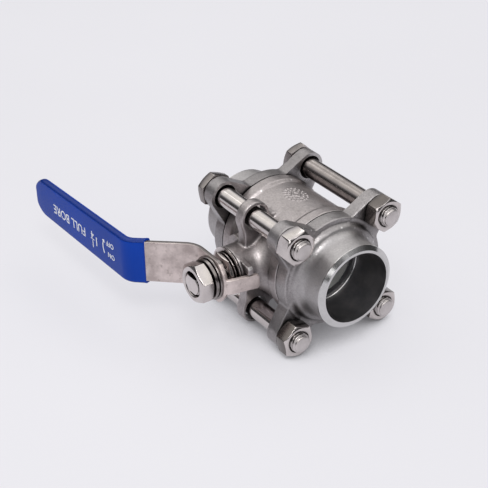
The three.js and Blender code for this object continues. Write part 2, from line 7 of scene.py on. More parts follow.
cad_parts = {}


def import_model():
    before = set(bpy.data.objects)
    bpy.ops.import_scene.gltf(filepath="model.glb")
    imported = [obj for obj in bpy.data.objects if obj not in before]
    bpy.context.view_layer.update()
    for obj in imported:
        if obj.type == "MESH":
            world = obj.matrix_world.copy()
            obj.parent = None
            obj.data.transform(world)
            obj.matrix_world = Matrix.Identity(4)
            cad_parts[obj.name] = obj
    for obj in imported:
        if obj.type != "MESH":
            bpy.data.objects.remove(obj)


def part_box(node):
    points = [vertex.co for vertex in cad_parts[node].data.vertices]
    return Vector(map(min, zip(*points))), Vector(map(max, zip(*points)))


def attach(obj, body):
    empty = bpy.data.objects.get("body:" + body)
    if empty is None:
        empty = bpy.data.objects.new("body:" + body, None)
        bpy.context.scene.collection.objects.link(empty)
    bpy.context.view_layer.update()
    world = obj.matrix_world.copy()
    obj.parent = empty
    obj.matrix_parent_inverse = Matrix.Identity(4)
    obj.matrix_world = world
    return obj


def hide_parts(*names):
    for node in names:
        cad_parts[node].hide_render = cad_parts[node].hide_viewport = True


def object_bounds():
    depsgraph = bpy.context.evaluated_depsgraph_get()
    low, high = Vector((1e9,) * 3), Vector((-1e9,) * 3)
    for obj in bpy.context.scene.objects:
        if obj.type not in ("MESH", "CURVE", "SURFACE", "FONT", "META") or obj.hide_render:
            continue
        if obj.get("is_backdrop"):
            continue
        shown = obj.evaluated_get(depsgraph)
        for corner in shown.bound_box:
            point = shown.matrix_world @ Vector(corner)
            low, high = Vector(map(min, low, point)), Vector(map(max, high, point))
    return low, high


# A DN32 three-piece ball valve with a lever. Pieces are made in millimetres about the ball's
# centre, with the pipe along X, the stem along -Y and Z up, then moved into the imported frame.

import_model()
cad_low, cad_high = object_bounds()

BALL_R = 23.0
ball_low, ball_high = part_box("ball")
ORIGIN = np.array([
    (ball_low.x + ball_high.x) / 2,
    ball_high.y - BALL_R / 1000,
    (ball_low.z + ball_high.z) / 2,
])

BODY = "valve_body"
TURNING = "stem_and_lever"
STEP = 0.42
ROUND = 144

# end caps
PORT_R = 16.0
PORT_END = 24.7
FLANGE_IN = 22.15
FLANGE_OUT = 29.5
FLANGE_R = 28.0
JOINT_RELIEF = 0.3
SPIGOT_R = 23.2
SPIGOT_END = 19.5
EAR_R = 7.75
HUB_R = 24.6
WELD_END = 46.7
PIPE_R = 21.15
WELD_BORE_R = 17.9
LAND_R = 19.2
BEVEL_START = 45.15
CAST_SPARE = 1.2

# centre body
BODY_END = 21.85
DRUM_R = 27.0
CAVITY_R = 23.6
GASKET_SEAT_R = 25.9
LUG_R = 7.9
LUG_HALF_T = 2.8
NECK_R = 11.65
NECK_END = -39.2
PACKING_R = 9.4

# bolts: y, z, and how far the head and the nut are turned
BOLT_Y = 25.5
BOLT_Z = 25.3
BOLT_R = 4.95
BOLT_END = 40.3
THREAD_START = 26.0
HEX_M10 = 15.5
HEAD_M10_H = 4.8
NUT_M10_H = 7.7
BOLT_HOLE_R = 6.1
LUG_HOLE_R = 6.4
BEARING_GAP = 0.3
BOLTS = {
    "upper_stem_side": (-BOLT_Y, BOLT_Z, 38, 12),
    "upper_back": (BOLT_Y, BOLT_Z, 15, 22),
    "lower_stem_side": (-BOLT_Y, -BOLT_Z, 50, 40),
    "lower_back": (BOLT_Y, -BOLT_Z, 5, 30),
}

# stem
STEM_R = 5.95
STEM_END = -60.25
STEM_THREAD_START = -38.0
STEM_HOLE_R = 6.3
STEM_COLLAR_R = 9.0
TANG_HALF_T = 3.6
STEM_FLAT = 4.0


# ---- meshes ---------------------------------------------------------------------------------
def outward(verts, faces):
    """The faces, flipped if their volume is negative."""
    total = 0.0
    for face in faces:
        p = verts[np.asarray(face)]
        for i in range(1, len(face) - 1):
            total += float(np.dot(p[0], np.cross(p[i], p[i + 1])))
    return faces if total > 0 else [tuple(reversed(f)) for f in faces]


def piece(name, verts, faces, material):
    """A smooth-shaded object from points in millimetres about the ball's centre."""
    mesh = bpy.data.meshes.new(name)
    co = np.asarray(verts, float) / 1000 + ORIGIN
    mesh.from_pydata(co.tolist(), [], [tuple(map(int, f)) for f in faces])
    mesh.validate()
    mesh.materials.append(material)
    obj = bpy.data.objects.new(name, mesh)
    bpy.context.scene.collection.objects.link(obj)
    shade(obj)
    return obj


def shade(obj, crease=28):
    obj.data.shade_smooth()
    obj.data.set_sharp_from_angle(angle=math.radians(crease))


def settle(obj):
    """Replaces the object's mesh by what its modifiers give."""
    result = obj.evaluated_get(bpy.context.evaluated_depsgraph_get())
    mesh = bpy.data.meshes.new_from_object(result)
    obj.modifiers.clear()
    obj.data = mesh
    return obj


def combine(obj, tool, operation):
    """Cuts or joins an object with a tool, which is used up."""
    modifier = obj.modifiers.new("combine", "BOOLEAN")
    modifier.operation = operation
    modifier.solver = "MANIFOLD"
    modifier.object = tool
    before = len(obj.data.vertices)
    bpy.context.view_layer.update()
    settle(obj)
    if len(obj.data.vertices) == before:
        raise RuntimeError(f"{operation} on {obj.name} changed nothing")
    bpy.data.objects.remove(tool)
    return obj


def soften(obj, width, angle=25):
    """Rounds the sharp edges by a width in millimetres."""
    modifier = obj.modifiers.new("soften", "BEVEL")
    modifier.width = width / 1000
    modifier.segments = 2
    modifier.limit_method = "ANGLE"
    modifier.angle_limit = math.radians(angle)
    modifier.harden_normals = False
    settle(obj)
    shade(obj, 40)
    return obj


def give(obj, body, slot, *nodes):
    """Puts a piece on its body in place of its CAD nodes; the slot is not used."""
    obj.name = nodes[0] + "_look"
    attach(obj, body)
    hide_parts(*nodes)
    return obj


def revolve(profile, axis="X", segments=ROUND, turn=0.0, centre=(0, 0, 0)):
    """Turns a profile of (radius, height) about an axis. It may be a function of the angle."""
    shape = profile if callable(profile) else (lambda angle: profile)
    angles = math.radians(turn) + np.arange(segments) * 2 * math.pi / segments
    rings = [np.array(shape(a), float) for a in angles]
    count = len(rings[0])
    capped = rings[0][0][0] == 0
    verts = []
    for a, ring in zip(angles, rings):
        for r, h in ring:
            c, s = r * math.cos(a), r * math.sin(a)
            verts.append((h, c, s) if axis == "X" else (c, h, s))
    verts = np.array(verts)
    faces = []
    last = count - 1 if capped else count
    for i in range(segments):
        j = (i + 1) % segments
        for k in range(last):
            m = (k + 1) % count
            quad = [i * count + k, j * count + k, j * count + m, i * count + m]
            if capped and k == 0:
                quad = [0, j * count + m, i * count + m]
            elif capped and m == count - 1:
                quad = [i * count + k, j * count + k, m]
            faces.append(tuple(quad))
    if capped:
        used = sorted({v for f in faces for v in f})
        lookup = {v: n for n, v in enumerate(used)}
        verts = verts[used]
        faces = [tuple(lookup[v] for v in f) for f in faces]
    return verts + np.array(centre, float), outward(verts, faces)


def merged(*parts):
    verts, faces, base = [], [], 0
    for v, f in parts:
        verts.append(v)
        faces += [tuple(i + base for i in face) for face in f]
        base += len(v)
    return np.concatenate(verts), faces


def block(x, y, z):
    verts = np.array([(a, b, c) for a in x for b in y for c in z], float)
    faces = [(0, 1, 3, 2), (4, 6, 7, 5), (0, 4, 5, 1), (2, 3, 7, 6), (0, 2, 6, 4), (1, 5, 7, 3)]
    return verts, outward(verts, faces)


def rod(r, low, high, centre=(0, 0, 0), axis="X"):
    return revolve([(0, low), (r, low), (r, high), (0, high)], axis, 64, centre=centre)


def tube(inner, outer, low, high, e):
    """A ring's profile with its edges broken by e."""
    s = 0.3 * e
    return [
        (inner, low + e), (inner + s, low + s), (inner + e, low),
        (outer - e, low), (outer - s, low + s), (outer, low + e),
        (outer, high - e), (outer - s, high - s), (outer - e, high),
        (inner + e, high), (inner + s, high - s), (inner, high - e),
    ]


def hex_radius(flats, turn):
    """A hexagon's radius as a function of the angle."""
    def radius(angle):
        part = (angle - math.radians(turn)) % (math.pi / 3)
        return flats / 2 / math.cos(part - math.pi / 6)
    return radius


def thread(r, h, angle, pitch, depth):
    """Radius of a screw thread at height h."""
    phase = (h / pitch - angle / (2 * math.pi)) % 1.0
    ridge = min(1.0, max(0.0, abs(2 * phase - 1) * 1.35 - 0.12))
    return r - depth * ridge


# ---- castings: distance fields, blended with real fillets --------------------------------------
def blend(a, b, k):
    """Joins two distances with a fillet about k wide."""
    h = np.maximum(k - np.abs(a - b), 0) / k
    return np.minimum(a, b) - h * h * k * 0.25


def rounded(a, b, r):
    """Where two distances overlap, with the edge between them rounded."""
    a, b = a + r, b + r
    return np.minimum(np.maximum(a, b), 0) + np.hypot(np.maximum(a, 0), np.maximum(b, 0)) - r


def between(v, low, high):
    return np.maximum(low - v, v - high)


def polygon_distance(u, v, points):
    """Signed distance to a closed polygon."""
    best = np.full(u.shape, 1e9, np.float32)
    inside = np.zeros(u.shape, bool)
    for (x0, y0), (x1, y1) in zip(points, points[1:] + points[:1]):
        ex, ey = x1 - x0, y1 - y0
        wx, wy = u - x0, v - y0
        t = np.clip((wx * ex + wy * ey) / (ex * ex + ey * ey), 0, 1)
        best = np.minimum(best, (wx - ex * t) ** 2 + (wy - ey * t) ** 2)
        crosses = ((y0 <= v) & (v < y1)) | ((y1 <= v) & (v < y0))
        if ey != 0:
            inside ^= crosses & (u < x0 + (v - y0) * ex / ey)
    return np.where(inside, -1, 1) * np.sqrt(best)


def net(distance, low, high):
    """A quad mesh on the zero of a distance field, pulled on to it at the end."""
    axes = [np.arange(a, b + STEP, STEP, dtype=np.float32) for a, b in zip(low, high)]
    field = distance(*np.meshgrid(*axes, indexing="ij"))
    inside = field < 0
    shape = [n - 1 for n in field.shape]
    corner = [(i, j, k) for i in (0, 1) for j in (0, 1) for k in (0, 1)]

    def shifted(values, o):
        return values[o[0]:o[0] + shape[0], o[1]:o[1] + shape[1], o[2]:o[2] + shape[2]]

    count = sum(shifted(inside, o).astype(np.int8) for o in corner)
    active = (count > 0) & (count < 8)
    number = np.full(shape, -1, np.int64)
    cells = np.argwhere(active)
    number[active] = np.arange(len(cells))
    total, weight = np.zeros((len(cells), 3)), np.zeros(len(cells))
    for o in corner:
        for a in range(3):
            if o[a]:
                continue
            end = list(o)
            end[a] = 1
            fa = field[tuple((cells + o).T)]
            fb = field[tuple((cells + end).T)]
            hit = (fa < 0) != (fb < 0)
            t = fa[hit] / (fa[hit] - fb[hit])
            at = np.tile(np.array(o, float), (len(t), 1))
            at[:, a] += t
            total[hit] += at
            weight[hit] += 1
    verts = (cells + total / weight[:, None]) * STEP + np.array([a[0] for a in axes])
    quads = []
    for a in range(3):
        b, c = (a + 1) % 3, (a + 2) % 3
        head = [slice(None)] * 3
        tail = [slice(None)] * 3
        head[a], tail[a] = slice(None, -1), slice(1, None)
        change = inside[tuple(head)] != inside[tuple(tail)]
        at = np.argwhere(change)
        at = at[(at[:, b] > 0) & (at[:, c] > 0) & (at[:, b] < shape[b]) & (at[:, c] < shape[c])]
        filled = inside[tuple(at.T)]
        ring = []
        for db, dc in ((-1, -1), (0, -1), (0, 0), (-1, 0)):
            cell = at.copy()
            cell[:, b] += db
            cell[:, c] += dc
            ring.append(number[tuple(cell.T)])
        ring = np.stack(ring, 1)
        ring[~filled] = ring[~filled][:, ::-1]
        quads.append(ring)
    e = 0.02
    for _ in range(3):
        x, y, z = verts.T
        f = distance(x, y, z)
        g = np.stack([
            distance(x + e, y, z) - distance(x - e, y, z),
            distance(x, y + e, z) - distance(x, y - e, z),
            distance(x, y, z + e) - distance(x, y, z - e),
        ], 1) / (2 * e)
        move = f[:, None] * g / np.maximum((g * g).sum(1), 0.05)[:, None]
        length = np.maximum(np.linalg.norm(move, axis=1), 1e-9)
        verts = verts - move * np.minimum(1, 0.45 * STEP / length)[:, None]
    return verts, np.concatenate(quads)


def ear(x, y, z, by, bz):
    """Ear round one bolt of an end cap."""
    away = math.hypot(by, bz)
    uy, uz = by / away, bz / away
    u = y * uy + z * uz - away
    v = np.abs(z * uy - y * uz)
    flare = math.radians(16)
    nu, nv = math.sin(flare), math.cos(flare)
    outline = np.where(v * nu < u * nv, np.hypot(u, v) - EAR_R, u * nu + v * nv - EAR_R)
    outline = np.maximum(outline, -14 - u)
    return rounded(outline, between(x, FLANGE_IN - CAST_SPARE, FLANGE_OUT), 0.6)


def cap_casting(x, y, z):
    """Flange, four ears, hub and pipe end, before machining."""
    rho = np.hypot(y, z)
    d = rounded(rho - FLANGE_R, between(x, FLANGE_IN - CAST_SPARE, FLANGE_OUT), 0.65)
    for by, bz, _, _ in BOLTS.values():
        d = blend(d, ear(x, y, z, by, bz), 1.0)
    hub = rounded(rho - HUB_R, between(x, 20, FLANGE_OUT + 2.1), 1.0)
    barrel = np.maximum(rho - PIPE_R, between(x, 20, WELD_END + 1.5))
    return np.maximum(blend(d, blend(hub, barrel, 5.5), 2.4), FLANGE_IN - 1 - x)


def cast_mark(x, y, z):
    """A plain raised mark on top of the drum: an oval of small beads round a diamond."""
    along, across = x + 2.0, DRUM_R * (np.arctan2(z, y) - math.radians(87))
    height = np.hypot(y, z) - DRUM_R
    diamond = np.abs(np.abs(along) / 2.6 + np.abs(across) / 2.0 - 1) * 1.4 - 0.35
    mark = np.maximum(diamond, height - 0.25)
    for count, long, short in ((18, 6.6, 5.0), (12, 4.4, 3.3)):
        for k in range(count):
            a = 2 * math.pi * k / count
            u, v = along - long * math.cos(a), across - short * math.sin(a)
            mark = np.minimum(mark, np.sqrt(u * u + v * v + (height + 0.1) ** 2) - 0.48)
    return np.maximum(mark, 20 - z)


def body_casting(x, y, z):
    """Drum, stem neck, the two bolt lugs and their plate, cast pad, stop fingers and mark."""
    rho = np.hypot(y, z)
    t = np.clip((np.abs(x) - 15) / 1.8, 0, 1)
    drum_r = DRUM_R + (FLANGE_R + 0.15 - DRUM_R) * t * t * (3 - 2 * t)
    d = rounded(rho - drum_r, np.abs(x) - BODY_END, 0.35)
    stem_rho = np.hypot(x, z)
    neck = rounded(np.maximum(stem_rho - NECK_R, y + 8), NECK_END - y, 0.5)
    d = blend(d, neck, 7.0)
    lugs = np.hypot(y + BOLT_Y, np.abs(z) - BOLT_Z) - LUG_R
    side = np.maximum(between(y, -31.8, -14), np.abs(z) - BOLT_Z + 1)
    inner = np.maximum(between(y, -26, -12), np.abs(z) - BOLT_Z + 2)
    outline = blend(np.minimum(side, inner), lugs, 2.5)
    plate = rounded(outline, np.abs(x) - LUG_HALF_T, 0.9)
    d = blend(d, plate, 1.6)
    pad = [(-13.8, 1.5), (-14.5, 5.7), (-13.7, 9.0), (-10.1, 11.5), (-6.4, 11.2), (-6.2, 1.5)]
    d = blend(d, rounded(polygon_distance(x, z, pad), between(y, -29.6, -18), 0.45), 0.9)
    finger = [(3.0, 9.6), (6.3, 9.4), (14.1, 8.1), (15.0, 7.2), (15.0, 4.3), (3.0, 4.3)]
    for u, v in ((x, z), (-z, -x)):
        d = blend(d, rounded(polygon_distance(u, v, finger), between(y, -38.3, -35.4), 0.35), 0.6)
    return blend(d, cast_mark(x, y, z), 0.5)


# ---- the lever's line --------------------------------------------------------------------------
LEVER_T = 2.2
LEVER_HALF_W = 11.2
LEVER_TIP_HALF_W = 9.4
LEVER_TIP_X = -120.6
LEVER_TIP_R = 8
SLEEVE_T = 4.4
SLEEVE_TIP_X = -122.0
SLEEVE_TIP_R = 9.5
SLEEVE_HEM_X = -28.9
SLEEVE_HEM_Y = -68.6
HEM_LEAN = 0.35
SHOULDER_X = 6.2
TAB_ROOT_X = 12.2
TAPER_X = -20
TAB_HALF_W = 3.8
TAB_END = (15.0, -32.6)
TAB_LENGTH = 13.98
TAB_ANGLE = 78.3
TAB_FOLD_R = 2.4
LEVER_MID_Y = -48.2
CRANK_START_X = -9
CRANK_R = 11.1
ELBOW_R = 7.9
ELBOW_Y = -70.6
CRANK, GRIP = math.radians(49), math.radians(3)


def lever_line(tip_x):
    """Dense points along the strip's middle: x, y, normal x, normal y."""
    fold = math.radians(TAB_ANGLE)
    fold_end = TAB_END[0] - TAB_LENGTH * math.cos(fold) - TAB_FOLD_R * math.sin(fold)
    crank_x = CRANK_START_X - CRANK_R * math.sin(CRANK)
    crank_y = LEVER_MID_Y - CRANK_R * (1 - math.cos(CRANK))
    slope = (crank_y - ELBOW_Y) / math.sin(CRANK)
    elbow_x = crank_x - slope * math.cos(CRANK) - ELBOW_R * (math.sin(CRANK) - math.sin(GRIP))
    # each move is a straight length and 0, or a bend's radius and its angle
    moves = [
        (TAB_LENGTH, 0), (TAB_FOLD_R, -fold), (fold_end - CRANK_START_X, 0), (CRANK_R, CRANK),
        (slope, 0), (ELBOW_R, GRIP - CRANK), ((elbow_x - tip_x) / math.cos(GRIP), 0),
    ]
    x, y = TAB_END
    heading = math.pi + fold
    points = [(x, y, -math.sin(heading), math.cos(heading))]
    for size, turn in moves:
        length = size if turn == 0 else size * abs(turn)
        steps = max(2, math.ceil(length / (1.5 if turn == 0 else 0.7)))
        for _ in range(steps):
            part = turn / steps
            chord = length / steps if turn == 0 else 2 * size * math.sin(abs(part) / 2)
            x += chord * math.cos(heading + part / 2)
            y += chord * math.sin(heading + part / 2)
            heading += part
            points.append((x, y, -math.sin(heading), math.cos(heading)))
    return np.array(points)


def rounded_half(half, radius, distance):
    """Half width at a distance from an end whose corners are rounded."""
    inset = max(0.0, radius - max(0.0, distance))
    return half - radius + math.sqrt(max(0.0, radius * radius - inset * inset))


def bar(stations, edge, arc):
    """A skin through (x, y, nx, ny, half width, half thickness) with rounded long edges."""
    rings = []
    for x, y, nx, ny, half, thick in stations:
        r = min(edge, thick * 0.96, half * 0.96)
        for sz, st, base in ((1, 1, 0), (-1, 1, 90), (-1, -1, 180), (1, -1, 270)):
            for k in range(arc + 1):
                a = math.radians(base + 90 * k / arc)
                z = sz * (half - r) + r * math.cos(a)
                t = st * (thick - r) + r * math.sin(a)
                rings.append((x + t * nx, y + t * ny, z))
    verts = np.array(rings)
    count = 4 * (arc + 1)
    total = len(stations)
    faces = []
    for i in range(total - 1):
        for k in range(count):
            m = (k + 1) % count
            faces.append((i * count + k, i * count + m, (i + 1) * count + m, (i + 1) * count + k))
    faces.append(tuple(reversed(range(count))))
    faces.append(tuple(range((total - 1) * count, total * count)))
    return verts, outward(verts, faces)


def tip_stations(line, tip_x, radius):
    """The line cut short of its tip, then close stations to the end."""
    kept = [p for p in line if p[0] > tip_x + radius]
    last, before = line[-1], kept[-1]
    rise = (last[1] - before[1]) / (last[0] - before[0])
    ends = []
    for k in range(17):
        d = radius * (1 - math.sin(math.pi / 2 * k / 16))
        ends.append((tip_x + d, last[1] + rise * d, last[2], last[3]))
    return kept + ends


# ---- materials ---------------------------------------------------------------------------------
class Nodes:
    """Short calls for building one material's node tree."""

    def __init__(self, name):
        self.material = bpy.data.materials.new(name)
        self.material.use_nodes = True
        self.tree = self.material.node_tree
        self.shader = self.tree.nodes["Principled BSDF"]
        self.place = self.tree.nodes.new("ShaderNodeTexCoord").outputs["Object"]

    def add(self, kind, inputs=None, **settings):
        node = self.tree.nodes.new(kind)
        for key, value in settings.items():
            setattr(node, key, value)
        for key, value in (inputs or {}).items():
            self.put(node.inputs[key], value)
        return node

    def put(self, socket, value):
        if isinstance(value, bpy.types.NodeSocket):
            self.tree.links.new(value, socket)
        else:
            socket.default_value = value

    def stretch(self, x, y, z):
        return self.add("ShaderNodeMapping", {"Vector": self.place, "Scale": (x, y, z)}).outputs[0]

    def noise(self, scale, detail, rough, at=None):
        inputs = {"Vector": at or self.place, "Scale": scale, "Detail": detail, "Roughness": rough}
        return self.add("ShaderNodeTexNoise", inputs).outputs["Fac"]

    def ramp(self, fac, low, high, a=0.0, b=1.0):
        inputs = {"Value": fac, "From Min": low, "From Max": high, "To Min": a, "To Max": b}
        return self.add("ShaderNodeMapRange", inputs).outputs[0]

    def mix(self, fac, a, b):
        node = self.add("ShaderNodeMix", data_type="RGBA")
        self.put(node.inputs[0], fac)
        self.put(node.inputs[6], a)
        self.put(node.inputs[7], b)
        return node.outputs[2]

    def math(self, operation, a, b):
        node = self.add("ShaderNodeMath", operation=operation)
        self.put(node.inputs[0], a)
        self.put(node.inputs[1], b)
        return node.outputs[0]

    def crevice_shade(self, reach):
        """How much painted shade a corner gets: 0 in the open, 1 deep in a corner."""
        node = self.add("ShaderNodeAmbientOcclusion", {"Distance": reach}, samples=8)
        return self.ramp(node.outputs["AO"], 0.3, 0.95, 1.0, 0.0)

    def bump(self, height, strength, distance, after=None):
        inputs = {"Height": height, "Strength": strength, "Distance": distance}
        if after is not None:
            inputs["Normal"] = after
        return self.add("ShaderNodeBump", inputs).outputs[0]

    def finish(self, **inputs):
        for key, value in inputs.items():
            self.put(self.shader.inputs[key.replace("_", " ")], value)
        return self.material


def rgb(r, g, b):
    return (r, g, b, 1.0)


def darker(colour, share):
    return rgb(*[c * share for c in colour])


def cast_steel(name, dark, light, rough_low, rough_high):
    """Shot-blasted casting: pits and grains in a cloudy tone; the pipe ends flatter, and paler by
    painted light.
    """
    n = Nodes(name)
    grain = n.noise(1150, 3, 0.65)
    pits = n.noise(520, 2, 0.5)
    cloud = n.noise(90, 5, 0.6)
    broad = n.noise(22, 3, 0.5)
    colour = n.mix(n.ramp(cloud, 0.3, 0.7), rgb(*dark), rgb(*light))
    colour = n.mix(n.ramp(grain, 0.3, 0.7, 0.0, 0.5), colour, darker(dark, 0.62))
    colour = n.mix(n.ramp(pits, 0.62, 0.78, 0.0, 0.4), colour, darker(dark, 0.4))
    place_x = n.add("ShaderNodeSeparateXYZ", {"Vector": n.place}).outputs["X"]
    along = n.math("ABSOLUTE", n.math("SUBTRACT", place_x, ORIGIN[0]), 0)
    # Painted light: the hub and pipe barrel are made paler all round, for the light they catch.
    colour = n.mix(n.ramp(along, 0.0298, 0.034, 0.0, 0.3), colour, rgb(0.74, 0.72, 0.725))
    # Painted shade, partly dirt in the hollows: darker deep in corners and gaps.
    colour = n.mix(n.math("MULTIPLY", n.crevice_shade(0.006), 0.85), colour, darker(dark, 0.18))
    # Painted highlight on sharp convex edges, with some rubbing: they are made paler.
    rubbed_edge_highlight = n.ramp(n.add("ShaderNodeNewGeometry").outputs["Pointiness"], 0.53, 0.62, 0.0, 0.7)
    colour = n.mix(rubbed_edge_highlight, colour, rgb(0.86, 0.84, 0.84))
    rough = n.math("ADD", n.ramp(cloud, 0.3, 0.7, rough_low, rough_high),
                   n.ramp(grain, 0.3, 0.7, -0.05, 0.08))
    rough = n.math("ADD", rough, n.ramp(along, 0.031, 0.037, 0.0, 0.13))
    normal = n.bump(broad, 0.3, 0.0007)
    normal = n.bump(pits, 0.5, 0.0002, normal)
    normal = n.bump(grain, 0.7, 0.00011, normal)
    return n.finish(Base_Color=colour, Metallic=1.0, Roughness=rough, Normal=normal)


def bright_steel(name, base, rough, grain, haze_share=0.12):
    """Turned or formed steel: faint lines, stretched by the grain's scales, a little haze and painted
    shade in corners.
    """
    n = Nodes(name)
    lines = n.noise(900, 2, 0.5, n.stretch(*grain))
    haze = n.noise(160, 4, 0.6)
    colour = n.mix(n.ramp(haze, 0.35, 0.75, 0.0, haze_share), rgb(*base), darker(base, 0.55))
    # Painted shade: darker deep in corners and where parts meet.
    colour = n.mix(n.math("MULTIPLY", n.crevice_shade(0.003), 0.8), colour, darker(base, 0.15))
    roughness = n.math("ADD", n.ramp(haze, 0.3, 0.7, rough * 0.85, rough * 1.35),
                       n.ramp(lines, 0.3, 0.7, -0.02, 0.03))
    normal = n.bump(lines, 0.12, 0.00003)
    return n.finish(Base_Color=colour, Metallic=1.0, Roughness=roughness, Normal=normal)


def bore_steel():
    n = Nodes("bored_steel")
    rings = n.noise(2200, 2, 0.5, n.stretch(1, 0.02, 0.02))
    haze = n.noise(120, 4, 0.6)
    colour = n.mix(n.ramp(haze, 0.3, 0.7), rgb(0.16, 0.16, 0.17), rgb(0.27, 0.26, 0.265))
    return n.finish(Base_Color=colour, Metallic=1.0, Roughness=n.ramp(haze, 0.3, 0.7, 0.38, 0.5),
                    Normal=n.bump(rings, 0.2, 0.00003))


def stamped_strip():
    n = Nodes("stamped_strip")
    fine = n.noise(1300, 4, 0.65)
    blotch = n.noise(130, 5, 0.65)
    specks = n.noise(480, 3, 0.6)
    colour = n.mix(n.ramp(blotch, 0.36, 0.64), rgb(0.47, 0.40, 0.385), rgb(0.73, 0.64, 0.62))
    colour = n.mix(n.ramp(specks, 0.58, 0.72, 0.0, 0.5), colour, rgb(0.25, 0.205, 0.185))
    rough = n.math("ADD", n.ramp(blotch, 0.3, 0.7, 0.42, 0.52), n.ramp(fine, 0.3, 0.7, -0.03, 0.05))
    return n.finish(Base_Color=colour, Metallic=0.9, Roughness=rough, Normal=n.bump(fine, 0.3, 0.00005))


def blue_vinyl(name, dark, light, rough_low, shine):
    """Dipped vinyl; its darker copy on the grip's front rounded edges is painted shade."""
    n = Nodes(name)
    fine = n.noise(700, 3, 0.6)
    broad = n.noise(35, 3, 0.5)
    colour = n.mix(n.ramp(broad, 0.3, 0.7), rgb(*dark), rgb(*light))
    rough = n.math("ADD", n.ramp(broad, 0.3, 0.7, rough_low, rough_low + 0.08),
                   n.ramp(fine, 0.3, 0.7, -0.02, 0.04))
    normal = n.bump(broad, 0.3, 0.0004)
    normal = n.bump(fine, 0.15, 0.00004, normal)
    return n.finish(Base_Color=colour, Metallic=0.0, Roughness=rough, Normal=normal,
                    Specular_IOR_Level=shine)


def white_seal():
    n = Nodes("white_seal")
    fine = n.noise(500, 3, 0.5)
    colour = n.mix(n.ramp(fine, 0.3, 0.7), rgb(0.78, 0.78, 0.74), rgb(0.86, 0.86, 0.83))
    return n.finish(Base_Color=colour, Roughness=n.ramp(fine, 0.3, 0.7, 0.42, 0.52),
                    Normal=n.bump(fine, 0.1, 0.00003))


def print_ink():
    n = Nodes("print_ink")
    fine = n.noise(900, 3, 0.6)
    colour = n.mix(n.ramp(fine, 0.35, 0.75, 0.0, 0.5), rgb(0.88, 0.90, 0.94), rgb(0.60, 0.64, 0.78))
    return n.finish(Base_Color=colour, Roughness=0.5)


CAST = cast_steel("cast_steel", (0.29, 0.272, 0.275), (0.44, 0.416, 0.42), 0.34, 0.43)
PLAIN_CAST = cast_steel("cast_steel_body", (0.39, 0.355, 0.355), (0.53, 0.485, 0.485), 0.35, 0.44)
MACHINED = bright_steel("machined_steel", (0.72, 0.71, 0.71), 0.22, (0.03, 1, 1))
WELD_PREP = bright_steel("weld_prep_steel", (0.60, 0.59, 0.59), 0.13, (0.03, 1, 1), 0.3)
BORED = bore_steel()
BOLTING = bright_steel("bolting_steel", (0.60, 0.555, 0.545), 0.12, (1, 0.05, 0.05), 0.4)
# The washers' dull finish; the same dark copy also paints shade on one bolt's shank.
DULL_AND_SHADED = bright_steel("dull_and_shaded_steel", (0.32, 0.288, 0.28), 0.2, (1, 0.05, 0.05), 0.7)
# Painted reflection: hex sides darkened as if they mirrored dark surroundings, deeper on the nuts.
DARK_FACET_STEEL = bright_steel("dark_facet_steel", (0.27, 0.245, 0.24), 0.2, (1, 0.2, 0.2), 0.5)
DARKER_FACET_STEEL = bright_steel("darker_facet_steel", (0.17, 0.152, 0.145), 0.2, (1, 0.2, 0.2), 0.5)
SAWN = bright_steel("sawn_steel", (0.60, 0.56, 0.555), 0.36, (0.05, 1, 1), 0.3)
TURNED = bright_steel("turned_steel", (0.64, 0.59, 0.58), 0.17, (0.05, 1, 0.05), 0.3)
MIRROR = bright_steel("ball_steel", (0.80, 0.80, 0.80), 0.07, (1, 0.3, 0.3), 0.04)
STRIP = stamped_strip()
# The strip's cut edges, darkened further as painted shade.
SHEARED_AND_SHADED = bright_steel("sheared_and_shaded_steel", (0.24, 0.215, 0.21), 0.3, (0.3, 1, 1), 0.3)
VINYL = blue_vinyl("blue_vinyl", (0.001, 0.038, 0.31), (0.002, 0.048, 0.385), 0.32, 0.14)
# Painted shade: a darker copy of the vinyl for the grip's front rounded edges.
VINYL_SHADED_EDGE = blue_vinyl("blue_vinyl_shaded_edge", (0.001, 0.02, 0.16), (0.002, 0.026, 0.21), 0.2, 0.3)
SEAL = white_seal()
INK = print_ink()


def paint(obj, *rules):
    """Gives each face the material of the first rule that its centre meets, else slot 0."""
    mesh = obj.data
    slots = [mesh.materials[0]] + [m for _, m in rules]
    mesh.materials.clear()
    for m in slots:
        mesh.materials.append(m)
    centres = np.zeros(len(mesh.polygons) * 3)
    mesh.polygons.foreach_get("center", centres)
    normals = np.zeros(len(mesh.polygons) * 3)
    mesh.polygons.foreach_get("normal", normals)
    p = (centres.reshape(-1, 3) - ORIGIN) * 1000
    q = normals.reshape(-1, 3)
    chosen = np.zeros(len(p), np.int32)
    for number, (rule, _) in reversed(list(enumerate(rules, 1))):
        chosen[rule(p, q)] = number
    mesh.polygons.foreach_set("material_index", chosen)


